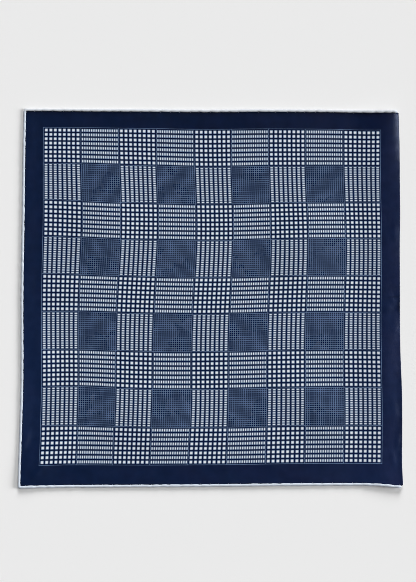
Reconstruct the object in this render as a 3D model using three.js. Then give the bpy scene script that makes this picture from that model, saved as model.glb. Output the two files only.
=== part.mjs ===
// A silk pocket square with a hand-rolled hem, laid out flat and face up.
// Millimetres, +Z up, +X to the right of someone who looks down on it with +Y away from them.
// The cloth is one closed sheet. It rests on its underside, and lies a little uneven:
// its edges bow, its weave is tugged sideways in places, and shallow swells lift it.

import * as THREE from "three";
import { mergeVertices } from "three/addons/utils/BufferGeometryUtils.js";

// Driving dimensions
const SIDE = 330; // finished side of the square
const HALF = SIDE / 2;
const THICKNESS = 1; // the silk, thickened so that it is a sound solid
const ROLL = 2.2; // width and height of the rolled hem
const ROLL_FOOT = 0.4; // where the hem's inner side runs out into the cloth
const CELLS = 28; // cells across the cloth, from hem to hem

// The hem's section is an octagon, and its flats are this long
const ROLL_FLAT = ROLL * Math.tan(Math.PI / 8);
const ROLL_BEVEL = (ROLL - ROLL_FLAT) / 2;

// The hem's section from the rim inwards: distance from the rim, and heights over and under
const HEM_SECTION = [
  { inset: 0, over: ROLL - ROLL_BEVEL, under: ROLL_BEVEL },
  { inset: ROLL_BEVEL, over: ROLL, under: 0 },
  { inset: ROLL - ROLL_BEVEL, over: ROLL, under: 0 },
  { inset: ROLL, over: ROLL - ROLL_BEVEL, under: 0 },
  { inset: ROLL + ROLL_FOOT, over: THICKNESS, under: 0 },
];
const HEM_ROWS = HEM_SECTION.length - 1;

// How far each corner lies from the corner of a true square
const CORNERS = {
  farLeft: { dx: 3, dy: -2 },
  farRight: { dx: -0.5, dy: -2 },
  nearLeft: { dx: -2.5, dy: -3.5 },
  nearRight: { dx: -0.5, dy: -1.5 },
};

// Where the cloth lies tugged sideways: the middle, the reach, and the shift at the middle
const TUGS = [
  { x: -30, y: -185, reach: 130, dx: -4.6, dy: 1 },
  { x: -125, y: 170, reach: 100, dx: -1.6, dy: -1.4 },
  { x: -125, y: -90, reach: 55, dx: 1.4, dy: 3.2 },
  { x: 100, y: 40, reach: 65, dx: 4.4, dy: 0 },
  { x: 120, y: -100, reach: 105, dx: 3.4, dy: 1.6 },
  { x: -140, y: 50, reach: 105, dx: -2.2, dy: 6 },
  { x: -95, y: 65, reach: 55, dx: 3.2, dy: -2.6 },
  { x: -5, y: 55, reach: 60, dx: 3, dy: -1.2 },
  { x: 100, y: 0, reach: 105, dx: -2.4, dy: 2.4 },
  { x: 145, y: 145, reach: 35, dx: 0.6, dy: -1.6 },
  { x: 165, y: -165, reach: 15, dx: 1.4, dy: -2 },
  { x: -15, y: -100, reach: 45, dx: 1.4, dy: 0 },
  { x: -5, y: 120, reach: 45, dx: -0.2, dy: -1.2 },
  { x: 85, y: 130, reach: 45, dx: 0, dy: -0.8 },
  { x: 95, y: 100, reach: 50, dx: -0.4, dy: 0 },
  { x: -82, y: -32, reach: 35, dx: -0.4, dy: 0 },
  { x: -130, y: -132, reach: 22, dx: 0.6, dy: 0 },
  { x: 20, y: -120, reach: 35, dx: 0, dy: -0.4 },
  { x: -120, y: 110, reach: 35, dx: 0, dy: 0.3 },
  { x: 145, y: -20, reach: 60, dx: 0, dy: -0.35 },
  { x: -168, y: -105, reach: 25, dx: -0.4, dy: 0 },
  { x: -168, y: -145, reach: 25, dx: -0.4, dy: 0 },
];

// How far the right side's rim is drawn in, at these distances up it
const RIM = [
  { y: -HALF, drawn: 0.5 },
  { y: -90, drawn: 0.3 },
  { y: -45, drawn: 1 },
  { y: 10, drawn: 1 },
  { y: 40, drawn: 1.2 },
  { y: 80, drawn: 0.5 },
  { y: 110, drawn: 0.6 },
  { y: 132, drawn: 0.9 },
  { y: 150, drawn: 1.4 },
  { y: HALF, drawn: 1.8 },
];
const DRAWN_OVER = 14; // width of the border that this takes up

// Where the cloth swells off the table: the middle, half the length and half the width,
// the turn of the length from +X in degrees, and the height of the crest
const SWELLS = [
  { x: -162, y: 0, length: 400, width: 12, turn: 90, rise: 0.45 },
  { x: 0, y: -162, length: 400, width: 12, turn: 0, rise: 0.45 },
  { x: 152, y: -58, length: 90, width: 16, turn: 92, rise: 0.4 },
  { x: 40, y: 156, length: 80, width: 15, turn: -2, rise: 0.8 },
  { x: -148, y: -52, length: 44, width: 15, turn: 97, rise: 1 },
  { x: -148, y: -146, length: 46, width: 20, turn: 42, rise: 1.4 },
  { x: -96, y: 66, length: 60, width: 34, turn: 70, rise: 1.6 },
  { x: 78, y: 48, length: 58, width: 36, turn: 62, rise: 1.8 },
  { x: -52, y: -104, length: 64, width: 38, turn: 12, rise: 1.5 },
  { x: 92, y: -96, length: 54, width: 32, turn: 130, rise: 1.2 },
];

// On the right side the roll is turned under, and the cloth rides over it.
// It comes up from the table between these distances from the rim.
const RAMP_TOP = 11;
const RAMP_FOOT = 44;

// The shift that the four corners alone would give a point of the flat cloth
function cornerShift(x, y, key) {
  const right = x / SIDE + 0.5;
  const far = y / SIDE + 0.5;
  const farEdge = THREE.MathUtils.lerp(CORNERS.farLeft[key], CORNERS.farRight[key], right);
  const nearEdge = THREE.MathUtils.lerp(CORNERS.nearLeft[key], CORNERS.nearRight[key], right);
  return THREE.MathUtils.lerp(nearEdge, farEdge, far);
}

// How far a point of the flat cloth is drawn in with the right side's rim
function drawnIn(x, y) {
  const above = RIM.findIndex((row) => y <= row.y);
  const [low, high] = [RIM[Math.max(above, 1) - 1], RIM[Math.max(above, 1)]];
  const share = THREE.MathUtils.smoothstep(y, low.y, high.y);
  const atRim = THREE.MathUtils.lerp(low.drawn, high.drawn, share);
  return atRim * THREE.MathUtils.smoothstep(x, HALF - DRAWN_OVER, HALF);
}

// Where a point of the flat cloth lies on the table
function laid(x, y) {
  const place = new THREE.Vector2(x + cornerShift(x, y, "dx"), y + cornerShift(x, y, "dy"));
  for (const tug of TUGS) {
    const away = Math.hypot(x - tug.x, y - tug.y) / tug.reach;
    const share = Math.exp(-away * away);
    place.x += share * tug.dx;
    place.y += share * tug.dy;
  }
  place.x -= drawnIn(x, y);
  return place;
}

// How high the cloth lies where it rides over the roll on the right side
function rideHeight(x) {
  const inset = HALF - x;
  if (inset < ROLL) return 0;
  return (ROLL - THICKNESS) * (1 - THREE.MathUtils.smoothstep(inset, RAMP_TOP, RAMP_FOOT));
}

// How high the swells and the roll beneath lift a point of the flat cloth
function lift(x, y) {
  let height = rideHeight(x);
  for (const swell of SWELLS) {
    const offset = new THREE.Vector2(x - swell.x, y - swell.y);
    offset.rotateAround(new THREE.Vector2(), -THREE.MathUtils.degToRad(swell.turn));
    const away = Math.hypot(offset.x / swell.length, offset.y / swell.width);
    if (away < 1) height += swell.rise * (1 - away * away) ** 2;
  }
  return height;
}

// The grid lines' places across the flat cloth: close together at the hems, even between
function gridLines() {
  const insets = HEM_SECTION.map((row) => row.inset);
  const inner = HALF - insets[HEM_ROWS];
  const lines = insets.map((inset) => inset - HALF);
  for (let cell = 1; cell < CELLS; cell += 1) {
    lines.push(THREE.MathUtils.lerp(-inner, inner, cell / CELLS));
  }
  return lines.concat(insets.map((inset) => HALF - inset).reverse());
}

// The height of the sheet's upper or lower face at a grid point, before the swells
function faceHeight(column, row, count, isUpper) {
  const nearest = Math.min(column, row, count - column, count - row, HEM_ROWS);
  const section = HEM_SECTION[nearest];
  return isUpper ? section.over : section.under;
}

// The sheet starts as a flat box with a vertex at each grid point of both faces
function clothGeometry() {
  const lines = gridLines();
  const count = lines.length - 1;
  const box = new THREE.BoxGeometry(count, count, 1, count, count, 1);
  box.deleteAttribute("normal");
  box.deleteAttribute("uv");
  const sheet = mergeVertices(box, 0.01);
  const points = sheet.getAttribute("position");
  for (let index = 0; index < points.count; index += 1) {
    const column = Math.round(points.getX(index) + count / 2);
    const row = Math.round(points.getY(index) + count / 2);
    const x = lines[column];
    const y = lines[row];
    const place = laid(x, y);
    const height = faceHeight(column, row, count, points.getZ(index) > 0) + lift(x, y);
    points.setXYZ(index, place.x, place.y, height);
  }
  sheet.computeBoundingBox();
  const middle = sheet.boundingBox.getCenter(new THREE.Vector3());
  sheet.translate(-middle.x, -middle.y, 0);
  sheet.computeVertexNormals();
  return sheet;
}

const printedSilk = new THREE.MeshStandardMaterial({
  color: 0x46526a,
  roughness: 0.55,
  metalness: 0,
});

const cloth = new THREE.Mesh(clothGeometry(), printedSilk);
cloth.name = "cloth";

const pocketSquare = new THREE.Group();
pocketSquare.add(cloth);

export default pocketSquare;
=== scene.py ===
import math
import random
from collections import namedtuple

import bmesh
import bpy
from mathutils import Matrix, Vector, noise


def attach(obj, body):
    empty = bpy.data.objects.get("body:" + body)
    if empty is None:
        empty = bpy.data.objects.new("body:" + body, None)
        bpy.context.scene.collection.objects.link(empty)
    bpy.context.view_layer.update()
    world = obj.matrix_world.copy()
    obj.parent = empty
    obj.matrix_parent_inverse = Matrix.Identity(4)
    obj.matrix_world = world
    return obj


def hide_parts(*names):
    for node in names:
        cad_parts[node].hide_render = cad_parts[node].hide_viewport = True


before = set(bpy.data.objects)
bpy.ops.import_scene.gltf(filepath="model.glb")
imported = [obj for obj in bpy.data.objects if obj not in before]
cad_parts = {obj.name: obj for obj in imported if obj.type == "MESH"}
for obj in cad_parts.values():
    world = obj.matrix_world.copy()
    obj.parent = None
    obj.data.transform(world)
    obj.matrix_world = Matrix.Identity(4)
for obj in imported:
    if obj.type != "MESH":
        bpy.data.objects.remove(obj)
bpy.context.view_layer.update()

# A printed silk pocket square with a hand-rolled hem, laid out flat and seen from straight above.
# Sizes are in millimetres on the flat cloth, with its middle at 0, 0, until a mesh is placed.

MM = 0.001

# The cloth
SIDE = 330.0  # finished side of the square
HALF = SIDE / 2
SILK = 0.28  # thickness of the silk
ROLL_WIDE = 2.5
ROLL_HIGH = 2.1
ROLL_IN = 1.1  # from the rim to the middle of the roll
EDGE_IN_ROLL = HALF - ROLL_IN  # how far out the cloth's edge lies inside the roll
CLOTH_CELLS = 176

# How far each corner lies from the corner of a true square
Shift = namedtuple("Shift", "dx dy")
FAR_LEFT = Shift(3, -2)
FAR_RIGHT = Shift(-0.5, -2)
NEAR_LEFT = Shift(-2.5, -3.5)
NEAR_RIGHT = Shift(-0.5, -1.5)

# Where the cloth lies tugged sideways: the middle, the reach, and the shift at the middle
Tug = namedtuple("Tug", "x y reach dx dy")
TUGS = (
    Tug(-30, -185, 130, -4.6, 1),
    Tug(-125, 170, 100, -1.6, -1.4),
    Tug(-125, -90, 55, 1.4, 3.2),
    Tug(100, 40, 65, 4.4, 0),
    Tug(120, -100, 105, 3.4, 1.6),
    Tug(-140, 50, 105, -2.2, 6),
    Tug(-95, 65, 55, 3.2, -2.6),
    Tug(-5, 55, 60, 3, -1.2),
    Tug(100, 0, 105, -2.4, 2.4),
    Tug(145, 145, 35, 0.6, -1.6),
    Tug(165, -165, 15, 1.4, -2),
    Tug(-15, -100, 45, 1.4, 0),
    Tug(-5, 120, 45, -0.2, -1.2),
    Tug(85, 130, 45, 0, -0.8),
    Tug(95, 100, 50, -0.4, 0),
    Tug(-82, -32, 35, -0.4, 0),
    Tug(-130, -132, 22, 0.6, 0),
    Tug(20, -120, 35, 0, -0.4),
    Tug(-120, 110, 35, 0, 0.3),
    Tug(145, -20, 60, 0, -0.35),
    Tug(-168, -105, 25, -0.4, 0),
    Tug(-168, -145, 25, -0.4, 0),
)

# On the right side the roll is turned under: the cloth rides over it to a fold at the rim
RIDE_FOOT = 44.0  # from the rim to where the cloth starts to rise from the table
CREST = 11.0  # and to where it is highest
DRAWN_OVER = 14.0  # the width of the border that the drawn-in rim takes up
CORNER_IN = 1.3  # how far the cloth's own corners lie in from the roll there
FOLD = 0.4  # radius of the fold
FLAP = 2.0  # how far the cloth runs back under
TURNED = math.pi * FOLD + FLAP
TUCK = 2.2  # from the rim to the turned roll
FOLD_COLUMNS = 16
CREST_LIFT = 0.4  # how much higher the crest is, as a share of the fall to the rim

# How the right side lies at these distances up it: how far the cloth falls from its crest to
# the fold, and how far its rim is drawn in
Rim = namedtuple("Rim", "y drop drawn")
RIM = (
    Rim(-HALF, -0.2, 0.5),
    Rim(-90, -0.2, 0.3),
    Rim(-45, 0, 1),
    Rim(-25, 0.15, 1),
    Rim(-6, -0.3, 1),
    Rim(10, 0.1, 1),
    Rim(40, 0.3, 1.2),
    Rim(80, 0.2, 0.5),
    Rim(110, 0.4, 0.6),
    Rim(132, 0.95, 0.9),
    Rim(150, 1.3, 1.4),
    Rim(HALF, 1.3, 1.8),
)

# Where the cloth swells off the table: the middle, half the length and half the width,
# the turn of the length from +X in degrees, and the height of the crest
Swell = namedtuple("Swell", "x y length width turn rise")
SWELLS = (
    Swell(-162, 0, 400, 12, 90, 0.45),
    Swell(0, -162, 400, 12, 0, 0.45),
    Swell(152, -58, 90, 16, 92, 0.4),
    Swell(40, 156, 80, 15, -2, 0.8),
    Swell(-148, -52, 44, 15, 97, 1),
    Swell(-148, -146, 46, 20, 42, 1.4),
    Swell(-96, 66, 60, 34, 70, 1.6),
    Swell(78, 48, 58, 36, 62, 1.8),
    Swell(-52, -104, 64, 38, 12, 1.5),
    Swell(92, -96, 54, 32, 130, 1.2),
)

# Small creases in the border, in the same terms
CREASES = (
    Swell(158, -4, 10, 3.6, 130, 0.3),
    Swell(153, -10, 9, 6, 10, 0.4),
    Swell(160, -27, 12, 5, 88, 0.2),
    Swell(160, -65, 8, 4, 120, 0.2),
    Swell(158, -99, 14, 5, 100, 0.3),
    Swell(161, -126, 12, 3.4, 84, 0.3),
    Swell(157, -141, 10, 3.2, 104, 0.3),
    Swell(160, 57, 12, 5, 92, 0.2),
    Swell(-160, -125, 13, 5, 70, 0.6),
    Swell(-147, -151, 17, 3.6, 45, 0.7),
    Swell(56, -148, 6, 3, 20, 0.5),
)

# The shallow waves that laid silk keeps: how far apart they are, and their height
Wave = namedtuple("Wave", "apart high")
BROAD_WAVES = Wave(46, 0.12)
SMALL_WAVES = Wave(15, 0.05)

# The ripples that the stitches draw in: their height, and how far in from the rim they fade
PUCKER = 0.16
PUCKER_REACH = 5

# The hem's stitches
STITCH_SPACING = 8.5
STITCH_JITTER = 1.3
STITCH_THICK = 0.3
STITCH_FOOT = 0.25  # how far from the roll a stitch starts
STITCH_BITE = 0.2  # and how far over the roll's inner side it ends
STITCH_SLANT = 0.25  # how far either end lies along the hem
STITCH_CLIMB = 0.72  # how high it ends, as a share of the roll

# The printed check, along either way of the cloth
BAR_PITCH = 3.96
BAR = 2.3
BARS = 8
DASH_PITCH = 1.993
DASH = 1.12
DASHES = 16
BAR_TO_DASH = 3.89  # from the last bar's middle to the first dash's
LINE = 0.26
LINE_OUT = 2.5  # from a bar's middle to the thin line that closes its band
CLOSING_LINE = 0.8  # how strongly that line is printed
GRID_LINES = 19  # thin lines that fill a band of dashes, the closing lines included
BANDS_OF_DASHES = 4
FIRST_BAR_FROM_LEFT = 20.4
FIRST_BAR_FROM_FAR_EDGE = 19.25
LINE_BLEED = 0.5  # how far the ground's ink bleeds at the thin lines
BLEED = 0.9  # and at the white marks
LINES_VARY = 3.2  # how much more strongly some lines of a block are printed than others
BLOCK_INK = 0.35  # how much of the deep ground's ink is in the blocks of thin lines

# Ink and silk, as linear colours
NAVY = (0.0025, 0.0095, 0.038)
VIOLET_NAVY = (0.0043, 0.0088, 0.037)  # and where it is a little redder: uneven dye, and painted sheen towards the right
DEEP_NAVY = (0.0004, 0.0055, 0.034)  # the ground between the check's white marks
PALE_LINE = (0.165, 0.252, 0.415)
UNPRINTED = (0.735, 0.76, 0.82)
BLED = (0.2, 0.28, 0.405)  # halfway through the bleed
PAINTED_SHEEN_WHITE = 0.007  # painted sheen: how far the silk's white is brought up where the tone is above 1
ROLL_WHITE = (0.565, 0.62, 0.7)
FAR_ROLL_PAINTED_SHADE = (0.54, 0.57, 0.61)  # painted shade: the far side's roll is painted a little greyer than the rest
FLOOR_GREY = (0.85, 0.85, 0.85)

SILK_ROUGHNESS = 0.32
DEEP_INK_SMOOTHS = 0.11  # how much the deep ground's heavier ink takes off that
INK_CLOUD = 0.8  # how much the ink's strength wanders from place to place

# Where the navy is redder: uneven dye in patches, and painted sheen that makes it redder towards the right
REDDER_PATCHES = 2.0
REDDER_AT_LEFT = -1.0
PAINTED_SHEEN_TO_RIGHT = 0.7
REDDER_IN_CHECK = 0.3  # the share of it that is left among the white marks

# Painted sheen and painted shade: patches that make the colour paler or deeper. The middle, half the
# length and half the width, the turn of the length from +X in degrees, and the share added to the colour
PaintedLight = namedtuple("PaintedLight", "x y length width turn tone")
PAINTED_SHEEN_AND_SHADE = (
    PaintedLight(0, 176, 330, 70, 0, -0.26),
    PaintedLight(168, -92, 130, 44, 90, 0.46),
    PaintedLight(167, -102, 90, 10, 90, -0.6),
    PaintedLight(160, 40, 150, 60, 90, 0.12),
    PaintedLight(-165, -75, 110, 45, 90, 0.32),
    PaintedLight(140, -152, 60, 40, 0, 0.3),
    PaintedLight(165, -9, 10, 4.5, 90, -0.55),
    PaintedLight(159, -1, 9, 1.8, 4, -0.4),
    PaintedLight(70, -60, 150, 130, 40, 0.08),
)

# The photograph's frame
PHOTO_WIDE, PHOTO_HIGH = 416, 582
PIXEL = 0.873  # millimetres on the table
PHOTO_MIDDLE_OF_CLOTH = (210.4, 298.55)
CAMERA_HEIGHT = 2.0
SENSOR = 36.0


# How the cloth lies

def corner_shift(x, y):
    """The shift that the four corners alone give a point of the flat cloth."""
    right = x / SIDE + 0.5
    far = y / SIDE + 0.5
    far_edge = Vector(FAR_LEFT).lerp(Vector(FAR_RIGHT), right)
    near_edge = Vector(NEAR_LEFT).lerp(Vector(NEAR_RIGHT), right)
    return near_edge.lerp(far_edge, far)


def smooth(value, low, high):
    """0 up to the low value, 1 from the high one on, and a soft step between them."""
    share = min(max((value - low) / (high - low), 0.0), 1.0)
    return share * share * (3 - 2 * share)


def rim_at(y):
    """How far the cloth falls to the right side's fold, and how far the rim is drawn in."""
    for low, high in zip(RIM, RIM[1:]):
        if y <= high.y:
            break
    share = smooth(y, low.y, high.y)
    return low.drop + (high.drop - low.drop) * share, low.drawn + (high.drawn - low.drawn) * share


def laid(x, y):
    """Where a point of the flat cloth lies, before the whole is centred."""
    place = Vector((x, y)) + corner_shift(x, y)
    for tug in TUGS:
        away = math.hypot(x - tug.x, y - tug.y) / tug.reach
        place += math.exp(-away * away) * Vector((tug.dx, tug.dy))
    place.x -= rim_at(y)[1] * smooth(x, HALF - DRAWN_OVER, HALF)
    return place


def middle_of_outline():
    """The middle of the box round the laid cloth's outline."""
    steps = [-HALF + SIDE * step / 56 for step in range(57)]
    rim = [laid(at, side) for at in steps for side in (-HALF, HALF)]
    rim += [laid(side, at) for at in steps for side in (-HALF, HALF)]
    return Vector([(min(p[i] for p in rim) + max(p[i] for p in rim)) / 2 for i in (0, 1)])


MIDDLE = middle_of_outline()


def lift(x, y, swells=SWELLS):
    """How high the swells lift a point of the flat cloth: nothing outside them."""
    height = 0.0
    for swell in swells:
        turn = math.radians(swell.turn)
        dx, dy = x - swell.x, y - swell.y
        along = dx * math.cos(turn) + dy * math.sin(turn)
        across = dy * math.cos(turn) - dx * math.sin(turn)
        away = math.hypot(along / swell.length, across / swell.width)
        if away < 1:
            height += swell.rise * (1 - away * away) ** 2
    return height


def unevenness(x, y):
    """The shallow waves that laid silk keeps, never below the table."""
    broad = noise.noise(Vector((x / BROAD_WAVES.apart, y / BROAD_WAVES.apart, 3.1)))
    small = noise.noise(Vector((x / SMALL_WAVES.apart, y / SMALL_WAVES.apart, 7.7)))
    return BROAD_WAVES.high * (1 + broad) + SMALL_WAVES.high * (1 + small)


def pucker(x, y):
    """The ripples that the hem's stitches draw into the cloth beside them."""
    inset = min(HALF - abs(x), HALF - abs(y))
    along = y if HALF - abs(x) < HALF - abs(y) else x
    wander = noise.noise(Vector((along / 30, inset / 20, 1.7)))
    wave = 0.5 + 0.5 * math.cos(2 * math.pi * along / STITCH_SPACING + 5 * wander)
    return PUCKER * wave * math.exp(-inset / PUCKER_REACH)


def ride(x, y):
    """How high the cloth is held by the turned roll of the right side."""
    inset = HALF - x
    drop = rim_at(y)[0]
    crest = ROLL_HIGH + CREST_LIFT * max(drop, 0)
    slope = drop * max(1 - inset / CREST, 0) ** 3
    return (crest - slope) * (1 - smooth(inset, CREST, RIDE_FOOT))


def round_fold(x):
    """Turns the cloth beyond the right rim back under: where it goes, and how far down."""
    beyond = x - (HALF - FOLD)
    if beyond <= 0:
        return x, 0.0
    angle = min(beyond / FOLD, math.pi)
    back = max(beyond - math.pi * FOLD, 0)
    return HALF - FOLD + FOLD * math.sin(angle) - back, FOLD * (1 - math.cos(angle))


def placed(x, y, height):
    """A point of the flat cloth at this height over the table, in metres."""
    place = laid(x, y) - MIDDLE
    return Vector((place.x, place.y, height)) * MM


# Pieces

def finish_mesh(name, bm, materials):
    """Makes the bmesh an object that rides on the root body, in these materials."""
    mesh = bpy.data.meshes.new(name)
    bm.to_mesh(mesh)
    bm.free()
    for material in materials:
        mesh.materials.append(material)
    mesh.shade_smooth()
    piece = bpy.data.objects.new(name, mesh)
    bpy.context.collection.objects.link(piece)
    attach(piece, "root")
    return piece


def grid_to_flat(u, v):
    """A point of the flat cloth for a grid point from -1 to 1 each way.

    The first columns are the part that is turned under, and the next are close together.
    """
    column = (1 - u) / 2 * CLOTH_CELLS
    if column < FOLD_COLUMNS:
        inset = FOLD - TURNED * (1 - column / FOLD_COLUMNS)
    else:
        near_rim = 8
        step, count = column - FOLD_COLUMNS, CLOTH_CELLS - FOLD_COLUMNS
        share = step**2 / (step + near_rim) * (count + near_rim) / count**2
        inset = FOLD + share * (HALF + EDGE_IN_ROLL - FOLD)
    return HALF - inset, v * (EDGE_IN_ROLL - CORNER_IN * smooth(-inset, -4, 0))


def make_cloth(face, reverse):
    """The printed square, as one thin closed sheet that ends inside its rolled hem."""
    bm = bmesh.new()
    flat_map = bm.loops.layers.uv.new("flat_cloth")
    bmesh.ops.create_grid(bm, x_segments=CLOTH_CELLS, y_segments=CLOTH_CELLS, size=1)
    for corner in (loop for cell in bm.faces for loop in cell.loops):
        x, y = grid_to_flat(*corner.vert.co.xy)
        corner[flat_map].uv = (x / SIDE + 0.5, y / SIDE + 0.5)
    for vert in bm.verts:
        flat_x, y = grid_to_flat(*vert.co.xy)
        x, down = round_fold(flat_x)
        height = SILK + lift(x, y) + lift(x, y, CREASES) + unevenness(x, y) + pucker(x, y)
        vert.co = placed(x, y, height + ride(min(flat_x, HALF - FOLD), y) - down)
    cloth = finish_mesh("silk_square", bm, [face, reverse])
    wall = cloth.modifiers.new("thickness", "SOLIDIFY")
    wall.thickness = SILK * MM
    wall.offset = -1
    wall.material_offset = 1
    return cloth


# The hem's line, followed from the near left corner along the near side, then anticlockwise
HEM_CORNER = 1.4
CORNER_LONGER = 0.25  # how much farther out it reaches halfway round a corner, as a share
HEM_STRAIGHT = 2 * (HALF - ROLL_IN - HEM_CORNER)
HEM_SIDE = HEM_STRAIGHT + HEM_CORNER * math.pi / 2
HEM_LENGTH = 4 * HEM_SIDE

# How uneven the roll is, as shares of its size or in millimetres from its line
ROLL_TWIST = 0.04  # how far the rolled cloth's turns stand out
PLUMP_WANDER = 0.13
PINCHED_IN = 0.15
LINE_WANDER = 0.16
PINCHED_OUT = 0.14
TUCKED_PLUMP = 0.94
PINCH_REACH = 1.3

# Where the roll starts to turn under, at either end of the right side: how far towards the
# corner this begins, and how far along the side it is done
TUCK_BEGINS = 3
TUCK_DONE = 1


def hem_line(along):
    """A point of the hem's line on the flat cloth, and the way out of the cloth there.

    The way out is longer at a corner, so that the corner is less round.
    """
    side, rest = divmod(along % HEM_LENGTH, HEM_SIDE)
    inner = HEM_STRAIGHT / 2
    if rest < HEM_STRAIGHT:
        place, out = Vector((rest - inner, -inner - HEM_CORNER)), Vector((0, -1))
    else:
        turn = (rest - HEM_STRAIGHT) / HEM_CORNER - math.pi / 2
        out = Vector((math.cos(turn), math.sin(turn))) * (1 - CORNER_LONGER * math.sin(2 * turn))
        place = Vector((inner, -inner)) + HEM_CORNER * out
    quarter_turns = Matrix.Rotation(side * math.pi / 2, 2)
    return quarter_turns @ place, quarter_turns @ out


def stitch_places():
    """How far along the hem each stitch is."""
    chance = random.Random(11)
    count = round(HEM_LENGTH / STITCH_SPACING)
    spacing = HEM_LENGTH / count
    return [(i + 0.5) * spacing + chance.uniform(-1, 1) * STITCH_JITTER for i in range(count)]


STITCHES = stitch_places()


def pinch(along):
    """How hard the nearest stitch pulls the roll in, from 0 to 1."""
    gap = min(abs(along - stitch) for stitch in STITCHES)
    return math.exp(-((gap / PINCH_REACH) ** 2))


def tucked(along):
    """How far the roll is turned under here, from 0 to 1: wholly on the right side."""
    end = HEM_SIDE + HEM_STRAIGHT
    turning_under = smooth(along, HEM_SIDE - TUCK_BEGINS, HEM_SIDE + TUCK_DONE)
    return turning_under - smooth(along, end - TUCK_DONE, end + TUCK_BEGINS)


def hem_point(along, turn, pinched):
    """A point of the roll's surface. The turn is 0 at its outer side and pi / 2 on top."""
    place, out = hem_line(along)
    plump = 1 + PLUMP_WANDER * noise.noise(Vector((along / 6, 2.2, 0))) - PINCHED_IN * pinched
    wander = LINE_WANDER * noise.noise(Vector((along / 11, 9.1, 0))) + PINCHED_OUT * pinched
    twist = ROLL_TWIST * math.sin(3 * turn + 2 * math.pi * along / 4.3)
    under = tucked(along)
    plump += (TUCKED_PLUMP - plump) * under
    wander -= (wander + TUCK) * under
    width = ROLL_WIDE / 2 * (plump + twist)
    height = ROLL_HIGH / 2 * (plump + twist)
    base = place + out * wander
    spot = base + out * width * math.cos(turn)
    middle = ROLL_HIGH / 2 * (plump + ROLL_TWIST)
    over = lift(*place) + pucker(*place) + middle + height * math.sin(turn)
    return placed(spot.x, spot.y, over + ride(*place) * (1 - under))


def make_hem(material):
    """The rolled hem: one closed roll that goes all the way round the cloth."""
    steps_along, steps_round = 1100, 14
    bm = bmesh.new()
    roll_map = bm.loops.layers.uv.new("roll")
    bmesh.ops.create_grid(bm, x_segments=steps_along, y_segments=steps_round, size=0.5)
    for corner in (loop for cell in bm.faces for loop in cell.loops):
        corner[roll_map].uv = (corner.vert.co.x + 0.5, corner.vert.co.y + 0.5)
    pulls = {}
    for vert in bm.verts:
        along = (vert.co.x + 0.5) * HEM_LENGTH
        turn = (vert.co.y + 0.5) * 2 * math.pi
        if along not in pulls:
            pulls[along] = pinch(along)
        vert.co = hem_point(along % HEM_LENGTH, turn, pulls[along])
    bmesh.ops.remove_doubles(bm, verts=bm.verts, dist=0.002 * MM)
    bmesh.ops.recalc_face_normals(bm, faces=bm.faces)
    return finish_mesh("rolled_hem", bm, [material])


def make_stitches(pale, dark):
    """The small stitches that hold the roll down along its inner foot."""
    bm = bmesh.new()
    for along in STITCHES:
        place, out = hem_line(along)
        side = Vector((-out.y, out.x))
        low = place - out * (ROLL_WIDE / 2 + STITCH_FOOT) - side * STITCH_SLANT
        high = place - out * (ROLL_WIDE / 2 - STITCH_BITE) + side * STITCH_SLANT
        base = lift(*place) + pucker(*place)
        start = placed(low.x, low.y, base + SILK)
        end = placed(high.x, high.y, base + ROLL_HIGH * STITCH_CLIMB)
        lie = (end - start).to_track_quat("X", "Z").to_matrix().to_4x4()
        long = (end - start).length / 2 + STITCH_THICK * MM / 2
        shape = Matrix.Diagonal((long, STITCH_THICK * MM / 2, STITCH_THICK * MM / 2, 1))
        spot = Matrix.Translation((start + end) / 2) @ lie @ shape
        made = bmesh.ops.create_icosphere(bm, subdivisions=1, radius=1, matrix=spot)
        for facet in {facet for vert in made["verts"] for facet in vert.link_faces}:
            facet.material_index = 1 if on_printed_roll(along) else 0
    return finish_mesh("hem_stitches", bm, [pale, dark])


def on_printed_roll(along):
    """True on the right side, where the print runs on over the roll."""
    return 1 <= along / HEM_SIDE < 2


# Shader nodes

class Net:
    """Adds nodes to a node tree. An input is a number, a colour or another node's output."""

    def __init__(self, tree):
        self.tree = tree

    def put(self, socket, value):
        if isinstance(value, bpy.types.NodeSocket):
            self.tree.links.new(value, socket)
        else:
            socket.default_value = value

    def node(self, kind, inputs=(), **settings):
        made = self.tree.nodes.new(kind)
        for name, value in settings.items():
            setattr(made, name, value)
        pairs = inputs.items() if isinstance(inputs, dict) else enumerate(inputs)
        for key, value in pairs:
            self.put(made.inputs[key], value)
        return made

    def math(self, operation, *values, clamp=False):
        return self.node("ShaderNodeMath", values, operation=operation, use_clamp=clamp).outputs[0]

    def blend(self, share, first, second):
        made = self.node("ShaderNodeMix", data_type="RGBA")
        self.put(made.inputs["Factor"], share)
        self.put(made.inputs["A"], first)
        self.put(made.inputs["B"], second)
        return made.outputs["Result"]

    def multiply(self, colour, tone):
        product = self.blend(1.0, colour, tone)
        product.node.blend_type = "MULTIPLY"
        return product

    def noise(self, place, scale, detail=2.0):
        """Soft noise about a half, at this many patches a unit of the place."""
        inputs = {"Vector": place, "Scale": scale, "Detail": detail}
        return self.node("ShaderNodeTexNoise", inputs).outputs["Fac"]

    def noise_along(self, place, scale):
        """The same, along a line."""
        inputs = {"W": place, "Scale": scale, "Detail": 2.0}
        return self.node("ShaderNodeTexNoise", inputs, noise_dimensions="1D").outputs["Fac"]

    def group(self, tree, **inputs):
        made = self.node("ShaderNodeGroup", node_tree=tree)
        for name, value in inputs.items():
            self.put(made.inputs[name.replace("_", " ")], value)
        return made.outputs


def new_group(name, takes, gives):
    """An empty node group, with its sockets' names and kinds, and its input and output nodes."""
    tree = bpy.data.node_groups.new(name, "ShaderNodeTree")
    for label, kind in takes.items():
        tree.interface.new_socket(name=label, in_out="INPUT", socket_type="NodeSocket" + kind)
    for label, kind in gives.items():
        tree.interface.new_socket(name=label, in_out="OUTPUT", socket_type="NodeSocket" + kind)
    net = Net(tree)
    return net, net.node("NodeGroupInput").outputs, net.node("NodeGroupOutput").inputs


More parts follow.
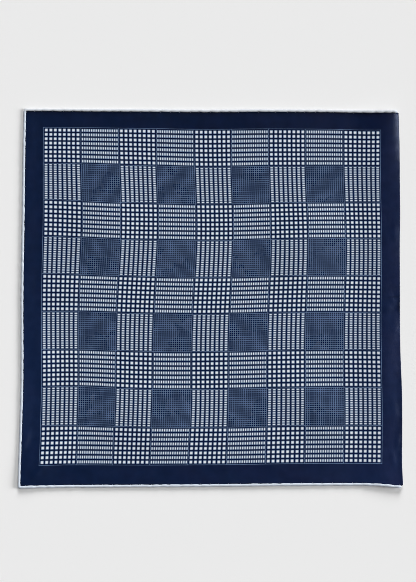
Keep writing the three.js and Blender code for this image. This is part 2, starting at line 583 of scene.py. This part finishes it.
def inked(net, distance, width, edge=LINE_BLEED):
    """1 within half the width of the middle of a printed mark, falling softly to 0."""
    inside = net.math("SUBTRACT", width / 2, distance)
    return net.math("MULTIPLY_ADD", inside, 1 / edge, 0.5, clamp=True)


def from_nearest(net, place, pitch):
    """The distance to the nearest of marks a pitch apart, one of them at 0."""
    return net.math("ABSOLUTE", net.math("WRAP", place, pitch / 2, -pitch / 2))


def between(net, place, low, high):
    """1 where the place lies between these two."""
    above = net.math("GREATER_THAN", place, low)
    return net.math("MULTIPLY", above, net.math("LESS_THAN", place, high))


def make_band_group():
    """The marks of the check along one way of the cloth, from the first bar's middle."""
    last_bar = (BARS - 1) * BAR_PITCH
    first_dash = last_bar + BAR_TO_DASH
    last_dash = first_dash + (DASHES - 1) * DASH_PITCH
    repeat = last_dash + BAR_TO_DASH
    near_line, far_line = last_bar + LINE_OUT, repeat - LINE_OUT
    whole = BANDS_OF_DASHES * repeat + last_bar
    names = ("Bars", "Dashes", "Bar band", "Closing lines", "Grid lines", "Dash band", "Printed")
    net, takes, gives = new_group("Check along one way", {"Place": "Float"}, dict.fromkeys(names, "Float"))
    place = takes["Place"]
    at = net.math("WRAP", place, repeat - BAR_PITCH / 2, -BAR_PITCH / 2)
    bars = inked(net, from_nearest(net, at, BAR_PITCH), BAR, BLEED)
    in_bars = net.math("LESS_THAN", at, last_bar + BAR_PITCH / 2)
    dash_at = net.math("SUBTRACT", at, first_dash)
    dashes = inked(net, from_nearest(net, dash_at, DASH_PITCH), DASH, BLEED)
    in_dashes = between(net, at, first_dash - DASH_PITCH / 2, last_dash + DASH_PITCH / 2)
    to_near = net.math("ABSOLUTE", net.math("SUBTRACT", at, near_line))
    to_far = net.math("ABSOLUTE", net.math("SUBTRACT", at, far_line))
    grid_at = net.math("SUBTRACT", at, near_line)
    grid_pitch = (far_line - near_line) / (GRID_LINES - 1)
    strength = net.noise_along(place, 0.9)
    uneven = net.math("MULTIPLY_ADD", strength, LINES_VARY, 1 - LINES_VARY / 2, clamp=True)
    net.put(gives["Bars"], net.math("MULTIPLY", bars, in_bars))
    net.put(gives["Bar band"], in_bars)
    net.put(gives["Dashes"], net.math("MULTIPLY", dashes, in_dashes))
    closing = inked(net, net.math("MINIMUM", to_near, to_far), LINE)
    net.put(gives["Closing lines"], net.math("MULTIPLY", closing, CLOSING_LINE))
    grid_lines = inked(net, from_nearest(net, grid_at, grid_pitch), LINE)
    net.put(gives["Grid lines"], net.math("MULTIPLY", grid_lines, uneven))
    net.put(gives["Dash band"], between(net, at, near_line, far_line))
    net.put(gives["Printed"], between(net, place, -LINE_OUT - LINE, whole + LINE_OUT + LINE))
    return net.tree


def make_check_group(band):
    """The glen check over the flat cloth: where it is left white, and where its thin lines are."""
    net, takes, gives = new_group(
        "Glen check",
        {"Across": "Float", "Down": "Float"},
        {"White": "Float", "Lines": "Float", "Deep ground": "Float", "Printed": "Float"},
    )
    across = net.group(band, Place=takes["Across"])
    down = net.group(band, Place=takes["Down"])
    marks = [net.math("ADD", way["Bars"], way["Dashes"]) for way in (across, down)]
    both = net.math("MULTIPLY", *marks)
    dashes_on_dashes = net.math("MULTIPLY", across["Dashes"], down["Dashes"])
    white = net.math("SUBTRACT", both, dashes_on_dashes)
    grid = net.math("MAXIMUM", across["Grid lines"], down["Grid lines"])
    dash_block = net.math("MULTIPLY", across["Dash band"], down["Dash band"])
    closing = net.math("MAXIMUM", across["Closing lines"], down["Closing lines"])
    lines = net.math("MAXIMUM", closing, net.math("MULTIPLY", grid, dash_block))
    printed = net.math("MULTIPLY", across["Printed"], down["Printed"])
    net.put(gives["White"], net.math("MULTIPLY", white, printed))
    net.put(gives["Lines"], net.math("MULTIPLY", lines, printed))
    deep = net.math("MAXIMUM", net.math("MAXIMUM", across["Bar band"], down["Bar band"]), BLOCK_INK)
    net.put(gives["Deep ground"], net.math("MULTIPLY", deep, printed))
    net.put(gives["Printed"], printed)
    return net.tree


def make_twill_group():
    """Silk twill: fine slanting ribs, crossed by threads. The place is in millimetres."""
    net, takes, gives = new_group(
        "Silk twill", {"Place": "Vector", "Slant": "Float"}, {"Height": "Float", "Thread tone": "Float"}
    )
    spot = net.node("ShaderNodeSeparateXYZ", [takes["Place"]]).outputs
    rib_pitch, thread_pitch = 0.34, 0.17
    slanted = net.math("MULTIPLY_ADD", spot["X"], takes["Slant"], spot["Y"])
    rib = net.math("SINE", net.math("MULTIPLY", slanted, 2 * math.pi / rib_pitch / math.sqrt(2)))
    thread = net.math("SINE", net.math("MULTIPLY", spot["X"], 2 * math.pi / thread_pitch))
    slub = net.noise(takes["Place"], 1.3, detail=3.0)
    height = net.math("MULTIPLY_ADD", thread, 0.2, rib)
    net.put(gives["Height"], net.math("MULTIPLY", height, 0.006))
    tone = net.math("MULTIPLY_ADD", slub, 0.16, 0.92)
    net.put(gives["Thread tone"], net.math("MULTIPLY_ADD", rib, 0.03, tone))
    return net.tree


def make_crumple_group():
    """The faint handling marks of silk that has been folded and smoothed out again."""
    net, takes, gives = new_group(
        "Handling marks", {"Place": "Vector"}, {"Height": "Float", "Gloss": "Float"}
    )
    wide = net.noise(takes["Place"], 0.045, detail=3.0)
    fine = net.noise(takes["Place"], 0.22)
    height = net.math("MULTIPLY_ADD", wide, 4.0, fine)
    net.put(gives["Height"], net.math("MULTIPLY", height, 0.05))
    net.put(gives["Gloss"], net.math("MULTIPLY_ADD", wide, 0.2, -0.1))
    return net.tree


def make_cloud_and_painted_sheen_group():
    """Random ink cloud and patches of painted sheen and shade, lifting or deepening the colour; 1 leaves
    it.
    """
    net, takes, gives = new_group("Ink cloud and painted sheen", {"Place": "Vector"}, {"Tone": "Float"})
    cloud = net.noise(takes["Place"], 0.12, detail=4.0)
    tone = net.math("MULTIPLY_ADD", cloud, INK_CLOUD, 1 - INK_CLOUD / 2)
    # each patch adds painted sheen where its share is above 0 and painted shade where it is below 0
    for patch in PAINTED_SHEEN_AND_SHADE:
        settings = {
            "Vector": takes["Place"],
            "Location": (patch.x + HALF, patch.y + HALF, 0),
            "Rotation": (0, 0, math.radians(patch.turn)),
            "Scale": (patch.length, patch.width, 1),
        }
        local = net.node("ShaderNodeMapping", settings, vector_type="TEXTURE").outputs["Vector"]
        away = net.node("ShaderNodeVectorMath", [local], operation="LENGTH").outputs["Value"]
        fade_out = [away, 0.0, 1.0, patch.tone, 0.0]
        soft = net.node("ShaderNodeMapRange", fade_out, interpolation_type="SMOOTHSTEP")
        tone = net.math("ADD", soft.outputs["Result"], tone)
    net.put(gives["Tone"], tone)
    return net.tree


def new_material(name):
    """A material with its Principled BSDF, and a net to add its pattern with."""
    material = bpy.data.materials.new(name)
    material.use_nodes = True
    return material, Net(material.node_tree), material.node_tree.nodes["Principled BSDF"].inputs


def flat_place(net, map_name, wide, high):
    """The place on a UV map, in millimetres."""
    spot = net.node("ShaderNodeUVMap", uv_map=map_name).outputs["UV"]
    return net.node("ShaderNodeVectorMath", [spot, (wide, high, 1)], operation="MULTIPLY").outputs[0]


def faded(ink, share):
    """The ink's colour, this far paled towards the silk's own."""
    return (*Vector(ink).lerp(Vector(UNPRINTED), share), 1)


def redder_dye_and_painted_sheen(net, place, printed):
    """How far the navy is redder, from 0 to 1: uneven dye in patches, and painted sheen towards the right.
    """
    patches = net.noise(place, 0.035)
    across = net.node("ShaderNodeSeparateXYZ", [place]).outputs["X"]
    # painted sheen: the navy turns redder towards the right
    painted_sheen_rightwards = net.math("MULTIPLY_ADD", across, PAINTED_SHEEN_TO_RIGHT / SIDE, REDDER_AT_LEFT)
    redder = net.math("MULTIPLY_ADD", patches, REDDER_PATCHES, painted_sheen_rightwards, clamp=True)
    kept = net.math("MULTIPLY_ADD", printed, REDDER_IN_CHECK - 1, 1.0)
    return net.math("MULTIPLY", redder, kept)


def printed_colour(net, place, marks, cloud_and_painted_sheen, fade):
    """The print's colours: the navy ground, the thin lines, and the marks that are left white."""
    navy, violet, deep, line = (faded(ink, fade) for ink in (NAVY, VIOLET_NAVY, DEEP_NAVY, PALE_LINE))
    border = net.blend(redder_dye_and_painted_sheen(net, place, marks["Printed"]), navy, violet)
    ground = net.blend(marks["Deep ground"], border, deep)
    # The random ink cloud and the painted sheen and shade multiply the ink; above 1 the tone also brings
    # up the silk's white as painted sheen.
    ink = net.multiply(net.blend(marks["Lines"], ground, line), cloud_and_painted_sheen)
    painted_sheen_white = net.math("MULTIPLY_ADD", cloud_and_painted_sheen, PAINTED_SHEEN_WHITE, -PAINTED_SHEEN_WHITE, clamp=True)
    ink = net.blend(painted_sheen_white, ink, (*UNPRINTED, 1))
    bled = net.blend(net.math("MULTIPLY", marks["White"], 2.0, clamp=True), ink, (*BLED, 1))
    clear = net.math("MULTIPLY_ADD", marks["White"], 2.0, -1.0, clamp=True)
    return net.blend(clear, bled, (*UNPRINTED, 1))


def make_printed_silk(name, check, twill, crumple, cloud_and_painted_sheen_group, slant, fade):
    """Printed twill. fade is how far the ink pales towards the silk, as on the reverse."""
    material, net, shader = new_material(name)
    place = flat_place(net, "flat_cloth", SIDE, SIDE)
    spot = net.node("ShaderNodeSeparateXYZ", [place]).outputs
    across = net.math("SUBTRACT", spot["X"], FIRST_BAR_FROM_LEFT)
    down = net.math("SUBTRACT", SIDE - FIRST_BAR_FROM_FAR_EDGE, spot["Y"])
    marks = net.group(check, Across=across, Down=down)
    weave = net.group(twill, Place=place, Slant=slant)
    handling = net.group(crumple, Place=place)
    # the random ink cloud, with the patches of painted sheen and painted shade
    cloud_and_painted_sheen = net.group(cloud_and_painted_sheen_group, Place=place)["Tone"]
    colour = printed_colour(net, place, marks, cloud_and_painted_sheen, fade)
    net.put(shader["Base Color"], net.multiply(colour, weave["Thread tone"]))
    inked_roughness = net.math("MULTIPLY_ADD", marks["Deep ground"], -DEEP_INK_SMOOTHS, SILK_ROUGHNESS)
    net.put(shader["Roughness"], net.math("ADD", handling["Gloss"], inked_roughness))
    shader["Specular IOR Level"].default_value = 0.45
    relief = net.math("ADD", weave["Height"], handling["Height"])
    bump = net.node("ShaderNodeBump", {"Height": relief, "Distance": MM, "Strength": 1.0})
    net.put(shader["Normal"], bump.outputs["Normal"])
    return material


# Turns round the roll, from its outer side over its top: the ink's edge on its inner side, how
# much that edge wanders, and where the underside starts and ends
INK_CLIMB = 0.43
INK_WANDER = 0.06
UNDERSIDE = 0.62
UNDERSIDE_END = 0.93
WHITE_FROM_CORNER = 0.5  # how far from its corners the right side's roll is inked


def make_roll_silk(twill):
    """The rolled edge: unprinted silk, but for the right side, where the print runs on over it."""
    material, net, shader = new_material("rolled silk")
    place = flat_place(net, "roll", HEM_LENGTH, 1)
    spot = net.node("ShaderNodeSeparateXYZ", [place]).outputs
    along, turn = spot["X"], spot["Y"]
    wobble = net.noise_along(along, 0.16)
    ink_top = net.math("MULTIPLY_ADD", wobble, INK_WANDER, INK_CLIMB - INK_WANDER / 2)
    inner = between(net, turn, ink_top, UNDERSIDE)
    end = HEM_SIDE + HEM_STRAIGHT
    right_side = between(net, along, HEM_SIDE + WHITE_FROM_CORNER, end - WHITE_FROM_CORNER)
    below, above = net.math("LESS_THAN", turn, UNDERSIDE), net.math("GREATER_THAN", turn, UNDERSIDE_END)
    wrapped = net.math("MAXIMUM", below, above)
    inked_part = net.math("MAXIMUM", inner, net.math("MULTIPLY", right_side, wrapped))
    spread = net.node("ShaderNodeCombineXYZ", [along, net.math("MULTIPLY", turn, math.pi * ROLL_WIDE)])
    weave = net.group(twill, Place=spread.outputs["Vector"], Slant=0.6)
    # painted shade: the far side's roll gets a greyer white
    painted_shade_on_far_side = between(net, along, 2 * HEM_SIDE, 3 * HEM_SIDE)
    white = net.blend(painted_shade_on_far_side, (*ROLL_WHITE, 1), (*FAR_ROLL_PAINTED_SHADE, 1))
    colour = net.blend(inked_part, white, (*NAVY, 1))
    net.put(shader["Base Color"], net.multiply(colour, weave["Thread tone"]))
    shader["Roughness"].default_value = 0.5
    shader["Specular IOR Level"].default_value = 0.2
    bump = net.node("ShaderNodeBump", {"Height": weave["Height"], "Distance": MM, "Strength": 1.0})
    net.put(shader["Normal"], bump.outputs["Normal"])
    return material


def make_thread(name, colour):
    """Twisted silk thread."""
    material, net, shader = new_material(name)
    place = net.node("ShaderNodeTexCoord").outputs["Object"]
    ply = net.noise(place, 4000.0)
    tone = net.math("MULTIPLY_ADD", ply, 0.4, 0.8)
    net.put(shader["Base Color"], net.multiply((*colour, 1), tone))
    shader["Roughness"].default_value = 0.6
    return material


# The set

def make_floor():
    """A wide plain floor, level with the cloth's underside."""
    bm = bmesh.new()
    bmesh.ops.create_grid(bm, x_segments=1, y_segments=1, size=8)
    mesh = bpy.data.meshes.new("floor")
    bm.to_mesh(mesh)
    bm.free()
    material, net, shader = new_material("floor paper")
    shader["Base Color"].default_value = (*FLOOR_GREY, 1)
    shader["Roughness"].default_value = 1.0
    shader["Specular IOR Level"].default_value = 0.0
    mesh.materials.append(material)
    floor = bpy.data.objects.new("floor", mesh)
    bpy.context.collection.objects.link(floor)


WHITE = (1, 1, 1)
SHEEN = (0.63, 0.73, 1)


def make_light(name, azimuth, elevation, spread, strength, colour=WHITE, glossy=True, diffuse=True):
    """A far lamp. Azimuth is anticlockwise from +X, and the spread is how wide it looks."""
    lamp = bpy.data.lights.new(name, "SUN")
    lamp.angle = math.radians(spread)
    lamp.energy = strength
    lamp.color = colour
    holder = bpy.data.objects.new(name, lamp)
    turn, rise = math.radians(azimuth), math.radians(elevation)
    towards = Vector((math.cos(turn) * math.cos(rise), math.sin(turn) * math.cos(rise), math.sin(rise)))
    holder.visible_glossy = glossy
    holder.visible_diffuse = diffuse
    holder.rotation_mode = "QUATERNION"
    holder.rotation_quaternion = towards.to_track_quat("Z", "Y")
    bpy.context.collection.objects.link(holder)


def make_world(strength):
    world = bpy.data.worlds.new("studio")
    world.use_nodes = True
    world.node_tree.nodes["Background"].inputs["Strength"].default_value = strength
    world.node_tree.nodes["Background"].inputs["Color"].default_value = (1, 1, 1, 1)
    bpy.context.scene.world = world


def make_camera():
    """Straight down, with the table at the photograph's scale and the cloth at its place in it."""
    camera = bpy.data.cameras.new("camera")
    camera.sensor_width = SENSOR
    camera.lens = SENSOR * CAMERA_HEIGHT / (PHOTO_HIGH * PIXEL * MM)
    holder = bpy.data.objects.new("camera", camera)
    across = (PHOTO_WIDE / 2 - PHOTO_MIDDLE_OF_CLOTH[0]) * PIXEL * MM
    up = (PHOTO_MIDDLE_OF_CLOTH[1] - PHOTO_HIGH / 2) * PIXEL * MM
    holder.location = (across, up, CAMERA_HEIGHT)
    bpy.context.collection.objects.link(holder)
    bpy.context.scene.camera = holder


make_camera()
make_floor()
make_light("right key", azimuth=4, elevation=28, spread=31, strength=2.93, glossy=False)
make_light("far key", azimuth=86, elevation=28, spread=31, strength=2.93, glossy=False)
make_light("overhead", azimuth=45, elevation=80, spread=20, strength=0.2, glossy=False)
make_light("sheen strip", azimuth=5, elevation=52, spread=12, strength=1.1, colour=SHEEN, diffuse=False)
make_world(0.03)
bpy.context.scene.view_settings.view_transform = "Standard"
bpy.context.scene.cycles.filter_width = 0.8

glen_check = make_check_group(make_band_group())
silk_twill = make_twill_group()
handling_marks = make_crumple_group()
cloud_and_painted_sheen_group = make_cloud_and_painted_sheen_group()
silk_groups = (glen_check, silk_twill, handling_marks, cloud_and_painted_sheen_group)
printed_face = make_printed_silk("printed silk", *silk_groups, slant=1.0, fade=0.0)
printed_back = make_printed_silk("silk reverse", *silk_groups, slant=-1.0, fade=0.16)
rolled_silk = make_roll_silk(silk_twill)
pale_thread = make_thread("pale thread", ROLL_WHITE)
navy_thread = make_thread("navy thread", NAVY)

silk_square = make_cloth(printed_face, printed_back)
rolled_hem = make_hem(rolled_silk)
hem_stitches = make_stitches(pale_thread, navy_thread)
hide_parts("cloth")
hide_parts("cloth")
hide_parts("cloth")
